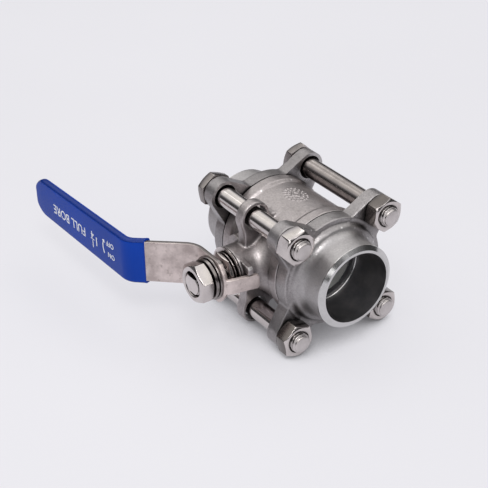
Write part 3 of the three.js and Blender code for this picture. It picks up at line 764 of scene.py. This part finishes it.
# ---- end caps ----------------------------------------------------------------------------------
def end_cap(turned):
    """A cap: cast, then faced, bored, bevelled and drilled."""
    verts, quads = net(cap_casting, (FLANGE_IN - 2.2, -36, -36), (WELD_END + 2.4, 36, 36))
    cap = piece("cap", verts, quads, CAST)
    relief = FLANGE_IN + JOINT_RELIEF
    bore = [
        (0, 10), (70, 10), (70, relief), (24.6, relief), (24.3, FLANGE_IN),
        (PORT_R, FLANGE_IN), (PORT_R, PORT_END),
        (WELD_BORE_R - 0.3, PORT_END), (WELD_BORE_R, PORT_END + 0.3), (WELD_BORE_R, WELD_END),
        (LAND_R, WELD_END), (PIPE_R + 0.3, BEVEL_START), (30, BEVEL_START), (30, 60), (0, 60),
    ]
    combine(cap, piece("tool", *revolve(bore), CAST), "DIFFERENCE")
    holes = [rod(BOLT_HOLE_R, 15, 35, (0, by, bz)) for by, bz, _, _ in BOLTS.values()]
    combine(cap, piece("tool", *merged(*holes), CAST), "DIFFERENCE")
    spigot = [
        (PORT_R, 21.9), (21, 21.9), (21, SPIGOT_END + 0.2), (21.2, SPIGOT_END),
        (SPIGOT_R - 0.3, SPIGOT_END), (SPIGOT_R, SPIGOT_END + 0.3),
        (SPIGOT_R, FLANGE_IN + 0.4), (PORT_R, FLANGE_IN + 0.4),
    ]
    combine(cap, piece("tool", *revolve(spigot), CAST), "UNION")
    shade(cap)

    def rho(p):
        return np.hypot(p[:, 1], p[:, 2])

    paint(
        cap,
        (lambda p, q: (rho(p) < WELD_BORE_R + 0.1) & (p[:, 0] > PORT_END + 0.4), BORED),
        (lambda p, q: (rho(p) < PORT_R + 0.1) & (p[:, 0] > FLANGE_IN + 0.45), BORED),
        (lambda p, q: p[:, 0] > BEVEL_START - 0.05, WELD_PREP),
        (lambda p, q: (p[:, 0] < FLANGE_IN + 0.02) & (rho(p) < 24.5), MACHINED),
        (lambda p, q: rho(p) < WELD_BORE_R + 0.2, MACHINED),
    )
    if turned:
        spin = Matrix.Translation(Vector(ORIGIN)) @ Matrix.Rotation(math.pi, 4, "Z")
        cap.data.transform(spin @ Matrix.Translation(-Vector(ORIGIN)))
    return cap


give(end_cap(False), BODY, "cast_stainless", "near_end_cap")
give(end_cap(True), BODY, "cast_stainless", "far_end_cap")


# ---- centre body -------------------------------------------------------------------------------
def centre_body():
    """The middle casting, bored for the ball and seats, the stem and the bolts."""
    verts, quads = net(body_casting, (-23.2, -40.4, -35), (23.2, 30, 35))
    body = piece("body", verts, quads, PLAIN_CAST)
    half = [(CAVITY_R, 20.4), (GASKET_SEAT_R, 20.4), (GASKET_SEAT_R, 40), (0, 40)]
    cavity = [(r, -h) for r, h in reversed(half)] + half
    combine(body, piece("tool", *revolve(cavity), MACHINED), "DIFFERENCE")
    well = [
        (0, -60), (PACKING_R, -60), (PACKING_R, -29.5), (6.35, -29.5),
        (6.35, -27.3), (PACKING_R, -27.3), (PACKING_R, -12), (0, -12),
    ]
    combine(body, piece("tool", *revolve(well, "Y"), MACHINED), "DIFFERENCE")
    guides = [rod(LUG_HOLE_R, -8, 8, (0, -BOLT_Y, bz)) for bz in (BOLT_Z, -BOLT_Z)]
    combine(body, piece("tool", *merged(*guides), MACHINED), "DIFFERENCE")
    shade(body)
    paint(
        body,
        (lambda p, q: (np.hypot(p[:, 1], p[:, 2]) < CAVITY_R + 0.1)
         & (p[:, 1] > -CAVITY_R - 0.05), MACHINED),
        (lambda p, q: (np.hypot(p[:, 0], p[:, 2]) < PACKING_R + 0.1) & (p[:, 1] < -23), MACHINED),
    )
    return body


give(centre_body(), BODY, "cast_stainless", "centre_body")


# ---- bolts and nuts ----------------------------------------------------------------------------
def bolt(by, bz, turn):
    """Head with a shallow recess and a chamfer, plain shank, thread with a bevelled end."""
    bearing = -FLANGE_OUT - BEARING_GAP
    top = bearing - HEAD_M10_H
    radius = hex_radius(HEX_M10, turn)
    face = 0.93 * HEX_M10 / 2

    def profile(angle):
        r = radius(angle)
        drop = (r - face) * math.tan(math.radians(30))
        points = [
            (0, top + 0.25), (face - 1.6, top + 0.25), (face - 1.2, top), (face, top),
            (r, top + drop), (r, bearing + 0.01), (BOLT_R + 0.6, bearing), (BOLT_R, bearing + 0.6),
            (BOLT_R, THREAD_START - 1), (BOLT_R, THREAD_START),
        ]
        for k in range(1, 100):
            h = THREAD_START + (BOLT_END - THREAD_START) * k / 100
            depth = 0.85 * min(1, (h - THREAD_START) / 1.5)
            points.append((min(thread(BOLT_R, h, angle, 1.5, depth), 3.75 + (BOLT_END - h) * 0.9), h))
        return points + [(3.6, BOLT_END), (0, BOLT_END)]

    shape = revolve(profile, segments=ROUND // 2, turn=turn, centre=(0, by, bz))
    return piece("bolt", *shape, BOLTING)


def hex_ring(flats, turn, low, high, hole, axis, face_share=0.93, centre=(0, 0, 0)):
    """A nut, chamfered at both ends down to a share of its width across flats."""
    radius = hex_radius(flats, turn)
    face = face_share * flats / 2

    def profile(angle):
        r = radius(angle)
        drop = (r - face) * math.tan(math.radians(30))
        return [
            (hole, low + 0.6), (hole + 0.6, low), (face, low), (r, low + drop),
            (r, high - drop), (face, high), (hole + 0.6, high), (hole, high - 0.6),
        ]

    return revolve(profile, axis, ROUND // 2, turn, centre)


def hexagon_sides(p, q):
    """The sides of a head or nut that lies along X, made darker as a painted reflection of dark
    surroundings.
    """
    from_bolt = np.hypot(np.abs(p[:, 1]) - BOLT_Y, np.abs(p[:, 2]) - BOLT_Z)
    return (np.abs(q[:, 0]) < 0.3) & (from_bolt > 6.5)


for name, (by, bz, head_turn, nut_turn) in BOLTS.items():
    made = soften(bolt(by, bz, head_turn), 0.12, 34)
    rules = [(hexagon_sides, DARK_FACET_STEEL), (lambda p, q: (p[:, 0] > 38.4) & (q[:, 0] > 0.55), SAWN)]
    if name == "upper_back":
        # Painted shade: this bolt's shank between the flanges is made darker.
        rules.append((lambda p, q: np.abs(p[:, 0]) < FLANGE_OUT, DULL_AND_SHADED))
    paint(made, *rules)
    give(made, BODY, "bolting_steel", "bolt_" + name)
    low = FLANGE_OUT + BEARING_GAP
    shape = hex_ring(HEX_M10, nut_turn, low, low + NUT_M10_H, 5.1, "X", centre=(0, by, bz))
    made = soften(piece("nut", *shape, BOLTING), 0.14)
    # Painted reflection: the nuts' hex sides are darkened, except on the one that looks bright.
    if name != "upper_stem_side":
        paint(made, (hexagon_sides, DARKER_FACET_STEEL))
    give(made, BODY, "bolting_steel", "nut_" + name)


# ---- seats, ball and stem stack ----------------------------------------------------------------
def seat_profile():
    """A seat ring, hollowed to fit the ball with a small gap."""
    points = [(16.25, 17.25)]
    for k in range(9):
        r = 17.2 + (19.6 - 17.2) * k / 8
        points.append((r, math.sqrt((BALL_R + 0.32) ** 2 - r * r)))
    return points + [(20.5, 13.4), (20.7, 13.7), (20.7, 21.55), (16.25, 21.55)]


def simple_ring(profile, axis, material, slot, body, node, flip=False):
    if flip:
        profile = [(r, -h) for r, h in profile]
    give(piece("ring", *revolve(profile, axis), material), body, slot, node)


for end, flip in (("near", False), ("far", True)):
    simple_ring(seat_profile(), "X", SEAL, "ptfe", BODY, end + "_seat_ring", flip)
    gasket = tube(23.9, 25.6, 20.7, BODY_END, 0.15)
    simple_ring(gasket, "X", SEAL, "ptfe", BODY, end + "_body_gasket", flip)
thrust_washer = tube(STEM_HOLE_R, 8.8, -27.1, -26.15, 0.15)
simple_ring(thrust_washer, "Y", SEAL, "ptfe", BODY, "stem_thrust_washer")
for number in range(3):
    top = -29.75 - 2.55 * number
    ring = tube(6.25, 9.2, top - 2.3, top, 0.3)
    simple_ring(ring, "Y", SEAL, "ptfe", BODY, f"stem_packing_ring_{number + 1}")
follower = tube(STEM_HOLE_R, 9.2, -39.8, -37.4, 0.2)
simple_ring(follower, "Y", TURNED, "turned_stainless", BODY, "gland_follower")


def dished(r, outer_y, inner_y):
    """A disc spring, higher at one edge than at the other."""
    t = 0.55
    return [(STEM_HOLE_R, inner_y), (r - 0.2, outer_y), (r, outer_y - 0.15), (r, outer_y - t + 0.1),
            (r - 0.15, outer_y - t), (STEM_HOLE_R, inner_y - t)]


for end, r, outer_y, inner_y in (("inner", 12, -39.75, -40.15), ("outer", 10.1, -41.1, -41.05)):
    shape = dished(r, outer_y, inner_y)
    simple_ring(shape, "Y", TURNED, "turned_stainless", TURNING, "disc_spring_" + end)

gland = hex_ring(18.7, 57, -44.1, -41.95, 6.2, "Y", 0.95)
give(soften(piece("nut", *gland, TURNED), 0.12), TURNING, "turned_stainless", "gland_nut")
lever_nut = hex_ring(18, 21, -59.9, -53, 6.15, "Y")
give(soften(piece("nut", *lever_nut, TURNED), 0.16), TURNING, "turned_stainless", "lever_nut")
washer = tube(STEM_HOLE_R, 10.8, -50.6, -49.6, 0.2)
simple_ring(washer, "Y", DULL_AND_SHADED, "turned_stainless", TURNING, "lever_plain_washer")


def split_washer():
    """A spring washer: one turn of square wire, its ends apart and a little out of line."""
    verts, faces = [], []
    steps = ROUND
    start, sweep = math.radians(200), math.radians(350)
    section = [(6.4, -0.72), (6.55, -0.8), (9.85, -0.8), (10.0, -0.65), (10.0, 0.65), (9.85, 0.8),
               (6.55, 0.8), (6.4, 0.72)]
    for i in range(steps + 1):
        share = i / steps
        a = start + sweep * share
        for r, h in section:
            verts.append((r * math.cos(a), -51.8 + h + 0.14 * (1 - 2 * share), r * math.sin(a)))
    n = len(section)
    for i in range(steps):
        for k in range(n):
            m = (k + 1) % n
            faces.append((i * n + k, i * n + m, (i + 1) * n + m, (i + 1) * n + k))
    faces.append(tuple(reversed(range(n))))
    faces.append(tuple(range(steps * n, steps * n + n)))
    verts = np.array(verts)
    return verts, outward(verts, faces)


made = piece("washer", *split_washer(), DULL_AND_SHADED)
give(made, TURNING, "turned_stainless", "lever_spring_washer")


def ball():
    """A sphere bored through, with its edges broken and a slot across for the stem's tang."""
    edge = math.sqrt(BALL_R ** 2 - (PORT_R + 0.5) ** 2)
    start = math.asin(edge / BALL_R)
    points = [(PORT_R, -edge + 0.4)]
    for k in range(49):
        a = -start + 2 * start * k / 48
        points.append((BALL_R * math.cos(a), BALL_R * math.sin(a)))
    points.append((PORT_R, edge - 0.4))
    obj = piece("ball", *revolve(points), MIRROR)
    slot = block((-3.95, 3.95), (-30, -19), (-30, 30))
    combine(obj, piece("tool", *slot, MIRROR), "DIFFERENCE")
    shade(obj)
    return obj


give(ball(), "ball", "polished_ball", "ball")


def stem():
    """Collar, plain neck and thread, with two flats for the lever and a tang for the ball."""
    def profile(angle):
        points = [
            (0, -23.4), (STEM_COLLAR_R - 0.8, -23.4), (STEM_COLLAR_R, -24.2),
            (STEM_COLLAR_R, -25.9), (STEM_R, -25.9), (STEM_R, -36),
        ]
        for k in range(1, 130):
            h = STEM_THREAD_START + (STEM_END - STEM_THREAD_START) * k / 130
            depth = 0.9 * min(1, (STEM_THREAD_START - h) / 1.5)
            r = thread(STEM_R, h, angle, 1.75, depth)
            points.append((min(r, 5.0 + (h - STEM_END) * 0.9), h))
        return points + [(4.7, STEM_END), (0, STEM_END)]

    obj = piece("stem", *revolve(profile, "Y", ROUND // 2), TURNED)
    flats = merged(
        block((-9, 9), (-62, -46.9), (STEM_FLAT, 9)),
        block((-9, 9), (-62, -46.9), (-9, -STEM_FLAT)),
    )
    combine(obj, piece("tool", *flats, TURNED), "DIFFERENCE")
    blade = revolve([(0, -24), (8.5, -24), (8.5, -19.7), (8.2, -19.4), (0, -19.4)], "Y", 72)
    tang = piece("tang", *blade, TURNED)
    sides = merged(
        block((TANG_HALF_T, 12), (-30, -10), (-12, 12)),
        block((-12, -TANG_HALF_T), (-30, -10), (-12, 12)),
    )
    combine(tang, piece("tool", *sides, TURNED), "DIFFERENCE")
    combine(obj, tang, "UNION")
    shade(obj)
    return obj


give(stem(), TURNING, "turned_stainless", "stem")


# ---- lever and grip ----------------------------------------------------------------------------
def lever_width(x, along):
    """Half width of the strip: narrow tab, shoulders, then a slow taper from the stem on."""
    if along < TAB_LENGTH + 2.5:
        return rounded_half(TAB_HALF_W, 1.3, along)
    if x > SHOULDER_X:
        share = (TAB_ROOT_X - x) / (TAB_ROOT_X - SHOULDER_X)
        return TAB_HALF_W + (LEVER_HALF_W - TAB_HALF_W) * min(1, max(0, share))
    if x > TAPER_X:
        return LEVER_HALF_W
    share = (TAPER_X - x) / (TAPER_X - LEVER_TIP_X)
    return LEVER_HALF_W + (LEVER_TIP_HALF_W - LEVER_HALF_W) * share


def lever():
    """The bent strip: a tab with a rounded end, the part on the stem, the crank and the grip."""
    line = tip_stations(lever_line(LEVER_TIP_X), LEVER_TIP_X, LEVER_TIP_R)
    tab = []
    dx, dy = line[1][0] - line[0][0], line[1][1] - line[0][1]
    unit = math.hypot(dx, dy)
    for d in (0, 0.02, 0.1, 0.25, 0.45, 0.7, 1.0, 1.3):
        tab.append((line[0][0] + dx / unit * d, line[0][1] + dy / unit * d, line[0][2], line[0][3]))
    line = tab + line[1:]
    stations, along = [], 0.0
    for i, (x, y, nx, ny) in enumerate(line):
        if i:
            along += math.hypot(x - line[i - 1][0], y - line[i - 1][1])
        half = rounded_half(lever_width(x, along), LEVER_TIP_R, x - LEVER_TIP_X)
        stations.append((x, y, nx, ny, half, LEVER_T / 2))
    obj = piece("lever", *bar(stations, 0.45, 3), STRIP)
    tool = piece("tool", *rod(STEM_R + 0.3, -60, -40, axis="Y"), STRIP)
    flats = block((-9, 9), (-70, -30), (-STEM_FLAT - 0.3, STEM_FLAT + 0.3))
    combine(tool, piece("flats", *flats, STRIP), "INTERSECT")
    combine(obj, tool, "DIFFERENCE")
    shade(obj, 35)
    # Painted shade, partly the sheared finish: the strip's narrow edges are dark.
    paint(obj, (lambda p, q: (np.abs(q[:, 2]) > 0.75) & (np.abs(p[:, 2]) > 5), SHEARED_AND_SHADED))
    return obj


give(lever(), TURNING, "stamped_stainless", "lever")


def sleeve():
    """The dipped grip: an outer skin with a slight lip at its slanted hem, hollow for the strip."""
    outer = []
    for x, y, nx, ny in tip_stations(lever_line(SLEEVE_TIP_X), SLEEVE_TIP_X, SLEEVE_TIP_R):
        if x > SLEEVE_HEM_X + 5 or y > -50:
            continue
        share = (SLEEVE_HEM_X - x) / (SLEEVE_HEM_X - SLEEVE_TIP_X)
        lip = 0.16 * math.exp(-((x - SLEEVE_HEM_X + 0.3) / 0.9) ** 2)
        half = rounded_half(12.2 - 1.6 * share, SLEEVE_TIP_R, x - SLEEVE_TIP_X) + lip
        thick = rounded_half(SLEEVE_T / 2, 1.9, x - SLEEVE_TIP_X) + lip
        outer.append((x, y, nx, ny, half, thick))
    obj = piece("sleeve", *bar(outer, 1.85, 8), VINYL)
    beyond, faces = block((SLEEVE_HEM_X, SLEEVE_HEM_X + 20), (-90, -40), (-20, 20))
    beyond = [(x - HEM_LEAN * (y - SLEEVE_HEM_Y), y, z) for x, y, z in beyond]
    combine(obj, piece("tool", beyond, faces, VINYL), "DIFFERENCE")
    inner = []
    end = LEVER_TIP_X - 0.3
    for x, y, nx, ny in tip_stations(lever_line(end), end, LEVER_TIP_R):
        if x > SLEEVE_HEM_X + 5 or y > -50:
            continue
        half = rounded_half(lever_width(x, TAB_LENGTH + 3) + 0.2, LEVER_TIP_R, x - end)
        inner.append((x, y, nx, ny, half, LEVER_T / 2 + 0.15))
    combine(obj, piece("tool", *bar(inner, 0.5, 3), VINYL), "DIFFERENCE")
    shade(obj, 50)
    soften(obj, 0.25, 50)
    # Painted shade: the rounded edges next to the grip's front face are darker.
    paint(obj, (lambda p, q: (np.abs(q[:, 2]) > 0.3) & (q[:, 1] < 0.1), VINYL_SHADED_EDGE))
    return obj


grip_look = give(sleeve(), TURNING, "blue_vinyl", "lever_grip_sleeve")
grip_look.visible_glossy = False  # keeps its blue out of the steel's reflections


# ---- print on the grip's face ------------------------------------------------------------------
PRINT_T = 0.06
straight = lever_line(SLEEVE_TIP_X)
straight = straight[straight[:, 0] < -44]
(ROOT_X, ROOT_Y), (END_X, END_Y) = straight[0][:2], straight[-1][:2]
SLOPE = (END_Y - ROOT_Y) / (END_X - ROOT_X)


def face_y(x):
    """The height of the grip's face under a print at x."""
    return ROOT_Y + SLOPE * (x - ROOT_X) - (SLEEVE_T / 2 + 0.015) / math.cos(GRIP)


def lay_flat(obj, x, z, name):
    """Puts a flat outline, drawn in millimetres, on the grip's face, reading towards the tip."""
    mesh = obj.data
    co = np.zeros(len(mesh.vertices) * 3)
    mesh.vertices.foreach_get("co", co)
    co = co.reshape(-1, 3)
    px = x - co[:, 0] * math.cos(GRIP)
    py = face_y(px) - PRINT_T * (co[:, 2] > 0)
    placed = np.stack([px, py, z - co[:, 1]], 1) / 1000 + ORIGIN
    mesh.vertices.foreach_set("co", placed.ravel())
    mesh.update()
    mesh.materials.clear()
    mesh.materials.append(INK)
    obj.name = name
    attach(obj, TURNING)


def lettering(text, size, x, z, name, stretch=1.0):
    """Prints a word or a number, made wider or narrower by the stretch."""
    curve = bpy.data.curves.new(name, "FONT")
    curve.body = text
    curve.size = size
    curve.extrude = PRINT_T / 2
    curve.offset = 0.04
    curve.align_x = "CENTER"
    curve.align_y = "CENTER"
    curve.resolution_u = 4
    maker = bpy.data.objects.new("maker", curve)
    bpy.context.scene.collection.objects.link(maker)
    bpy.context.view_layer.update()
    flat = maker.evaluated_get(bpy.context.evaluated_depsgraph_get())
    mesh = bpy.data.meshes.new_from_object(flat)
    bpy.data.objects.remove(maker)
    mesh.transform(Matrix.Diagonal((stretch, 1, 1, 1)))
    obj = bpy.data.objects.new(name, mesh)
    bpy.context.scene.collection.objects.link(obj)
    lay_flat(obj, x, z, name)


def flat_print(outline, x, z, name):
    """Prints a filled outline, drawn in millimetres."""
    n = len(outline)
    verts = [(u, v, h) for h in (0, PRINT_T) for u, v in outline]
    faces = [tuple(range(n, 2 * n)), tuple(reversed(range(n)))]
    faces += [(i, (i + 1) % n, n + (i + 1) % n, n + i) for i in range(n)]
    mesh = bpy.data.meshes.new(name)
    mesh.from_pydata(verts, [], faces)
    obj = bpy.data.objects.new(name, mesh)
    bpy.context.scene.collection.objects.link(obj)
    lay_flat(obj, x, z, name)


def arc_arrow(x, z):
    """An arrow curving from ON to OFF, open towards the stem."""
    radius, half = 6.6, 0.38
    tail, neck, tip = math.radians(34), math.radians(-26), math.radians(-40)

    def at(r, a):
        return r * math.cos(a) - radius, r * math.sin(a)

    turns = [tail + (neck - tail) * k / 16 for k in range(17)]
    outline = [at(radius - half, a) for a in turns]
    outline += [at(radius - 1.3, neck), at(radius, tip), at(radius + 1.3, neck)]
    outline += [at(radius + half, a) for a in reversed(turns)]
    flat_print(outline, x, z, "grip_arrow")


lettering("ON", 3.9, -47.8, -3.2, "grip_print_on")
lettering("OFF", 3.9, -48.4, 3.0, "grip_print_off")
arc_arrow(-55.0, -0.4)
# the nominal size in inches: 1 1/4
lettering("1", 7.2, -61.0, -0.9, "grip_print_whole")
lettering("1", 5.5, -64.6, -3.7, "grip_print_upper")
flat_print([(-1.6, -0.22), (1.6, -0.22), (1.6, 0.22), (-1.6, 0.22)], -64.7, -1.2, "grip_print_bar")
lettering("4", 5.5, -64.7, 1.4, "grip_print_lower")
lettering("FULL BORE", 7.3, -87.0, -0.4, "grip_print_words", 0.88)


# ---- camera, floor and light -------------------------------------------------------------------
SENSOR_WIDTH = 36
LENS = 87.92
CAMERA_AZIMUTH, CAMERA_ELEVATION, CAMERA_ROLL = 55.64, 31.6, -0.71
CAMERA_DISTANCE, CAMERA_ACROSS, CAMERA_UP = 581, -25.1, 0.44


def camera():
    """The photo's view: back from the ball, shifted across and up a little, in millimetres."""
    azimuth, elevation = math.radians(CAMERA_AZIMUTH), math.radians(CAMERA_ELEVATION)
    roll = math.radians(CAMERA_ROLL)
    back = Vector((math.sin(azimuth) * math.cos(elevation), -math.cos(azimuth) * math.cos(elevation),
                   math.sin(elevation)))
    right = Vector((math.cos(azimuth), math.sin(azimuth), 0))
    up = back.cross(right)
    across = math.cos(roll) * right + math.sin(roll) * up
    upright = -math.sin(roll) * right + math.cos(roll) * up
    offset = back * CAMERA_DISTANCE + across * CAMERA_ACROSS + upright * CAMERA_UP
    data = bpy.data.cameras.new("camera")
    data.sensor_width = SENSOR_WIDTH
    data.lens = LENS
    data.clip_start = 0.01
    data.clip_end = 20
    obj = bpy.data.objects.new("camera", data)
    bpy.context.scene.collection.objects.link(obj)
    turn = Matrix((across, upright, back)).transposed().to_4x4()
    obj.matrix_world = Matrix.Translation(Vector(ORIGIN) + offset / 1000) @ turn
    bpy.context.scene.camera = obj


camera()


def floor():
    """A pale table. It glows, as under broad studio light, except close under the valve, where a
    painted shadow dims it.
    """
    n = Nodes("pale_floor")
    cloud = n.noise(3, 3, 0.5)
    colour = n.mix(n.ramp(cloud, 0.3, 0.7), rgb(0.225, 0.222, 0.232), rgb(0.235, 0.232, 0.242))
    glow = n.mix(n.ramp(cloud, 0.3, 0.7), rgb(0.545, 0.54, 0.57), rgb(0.555, 0.55, 0.58))
    # Painted shadow: the glow is darkened where the valve stands close above.
    near = n.add("ShaderNodeAmbientOcclusion", {"Distance": 0.034}, samples=8).outputs["AO"]
    glow = n.mix(n.ramp(near, 0.15, 0.5, 1.0, 0.0), glow, rgb(0.10, 0.098, 0.104))
    material = n.finish(Base_Color=colour, Roughness=0.85, Specular_IOR_Level=0.1,
                        Emission_Color=glow, Emission_Strength=1.0)
    half = 6.0
    corners = [(-half, -half, 0), (half, -half, 0), (half, half, 0), (-half, half, 0)]
    mesh = bpy.data.meshes.new("floor")
    mesh.from_pydata(corners, [], [(0, 1, 2, 3)])
    mesh.materials.append(material)
    obj = bpy.data.objects.new("floor", mesh)
    bpy.context.scene.collection.objects.link(obj)
    obj.location = (0, 0, cad_low.z - 0.0002)
    obj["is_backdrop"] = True


floor()


LIGHT_TARGET = Vector((0, 0, 0.03))


def light(name, at, size, power):
    """A soft box, its place and size in metres, turned to the valve."""
    data = bpy.data.lights.new(name, "AREA")
    data.shape = "RECTANGLE"
    data.size, data.size_y = size
    data.energy = power
    obj = bpy.data.objects.new(name, data)
    bpy.context.scene.collection.objects.link(obj)
    obj.location = at
    obj.rotation_euler = (Vector(at) - LIGHT_TARGET).to_track_quat("Z", "Y").to_euler()


light("key", (-0.45, -0.25, 1.0), (0.5, 0.35), 0.6)
light("back", (-0.4, 0.6, 1.0), (0.7, 0.3), 0.9)
light("side", (1.0, 0.2, 0.9), (0.25, 0.6), 0.6)
light("front", (1.1, -0.4, 0.4), (0.4, 0.4), 0.8)
light("top", (0.52, -0.33, 0.92), (0.34, 0.34), 3.2)


def world():
    """What the metal mirrors: bright overhead, dark round the horizon, a lit table below."""
    made = bpy.data.worlds.new("studio")
    made.use_nodes = True
    tree = made.node_tree
    direction = tree.nodes.new("ShaderNodeTexCoord").outputs["Generated"]
    split = tree.nodes.new("ShaderNodeSeparateXYZ")
    tree.links.new(direction, split.inputs[0])
    height = tree.nodes.new("ShaderNodeMapRange")
    height.inputs["From Min"].default_value = -1.0
    tree.links.new(split.outputs["Z"], height.inputs["Value"])
    ramp = tree.nodes.new("ShaderNodeValToRGB")
    tree.links.new(height.outputs[0], ramp.inputs[0])
    # brightness against the direction's height, from straight down to straight up
    stops = (
        (-1.0, 0.3), (-0.5, 0.8), (-0.1, 0.2), (0.0, 0.06), (0.28, 0.05),
        (0.43, 0.2), (0.54, 0.75), (0.7, 1.05), (1.0, 0.9),
    )
    elements = ramp.color_ramp.elements
    for _ in stops[2:]:
        elements.new(0.5)
    for element, (z, value) in zip(elements, stops):
        element.position = (z + 1) / 2
        element.color = (value, value, min(1.0, value * 1.02), 1)
    background = tree.nodes["Background"]
    tree.links.new(ramp.outputs[0], background.inputs[0])
    background.inputs[1].default_value = 1.15
    bpy.context.scene.world = made


world()
bpy.context.scene.view_settings.view_transform = "Standard"

low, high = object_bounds()
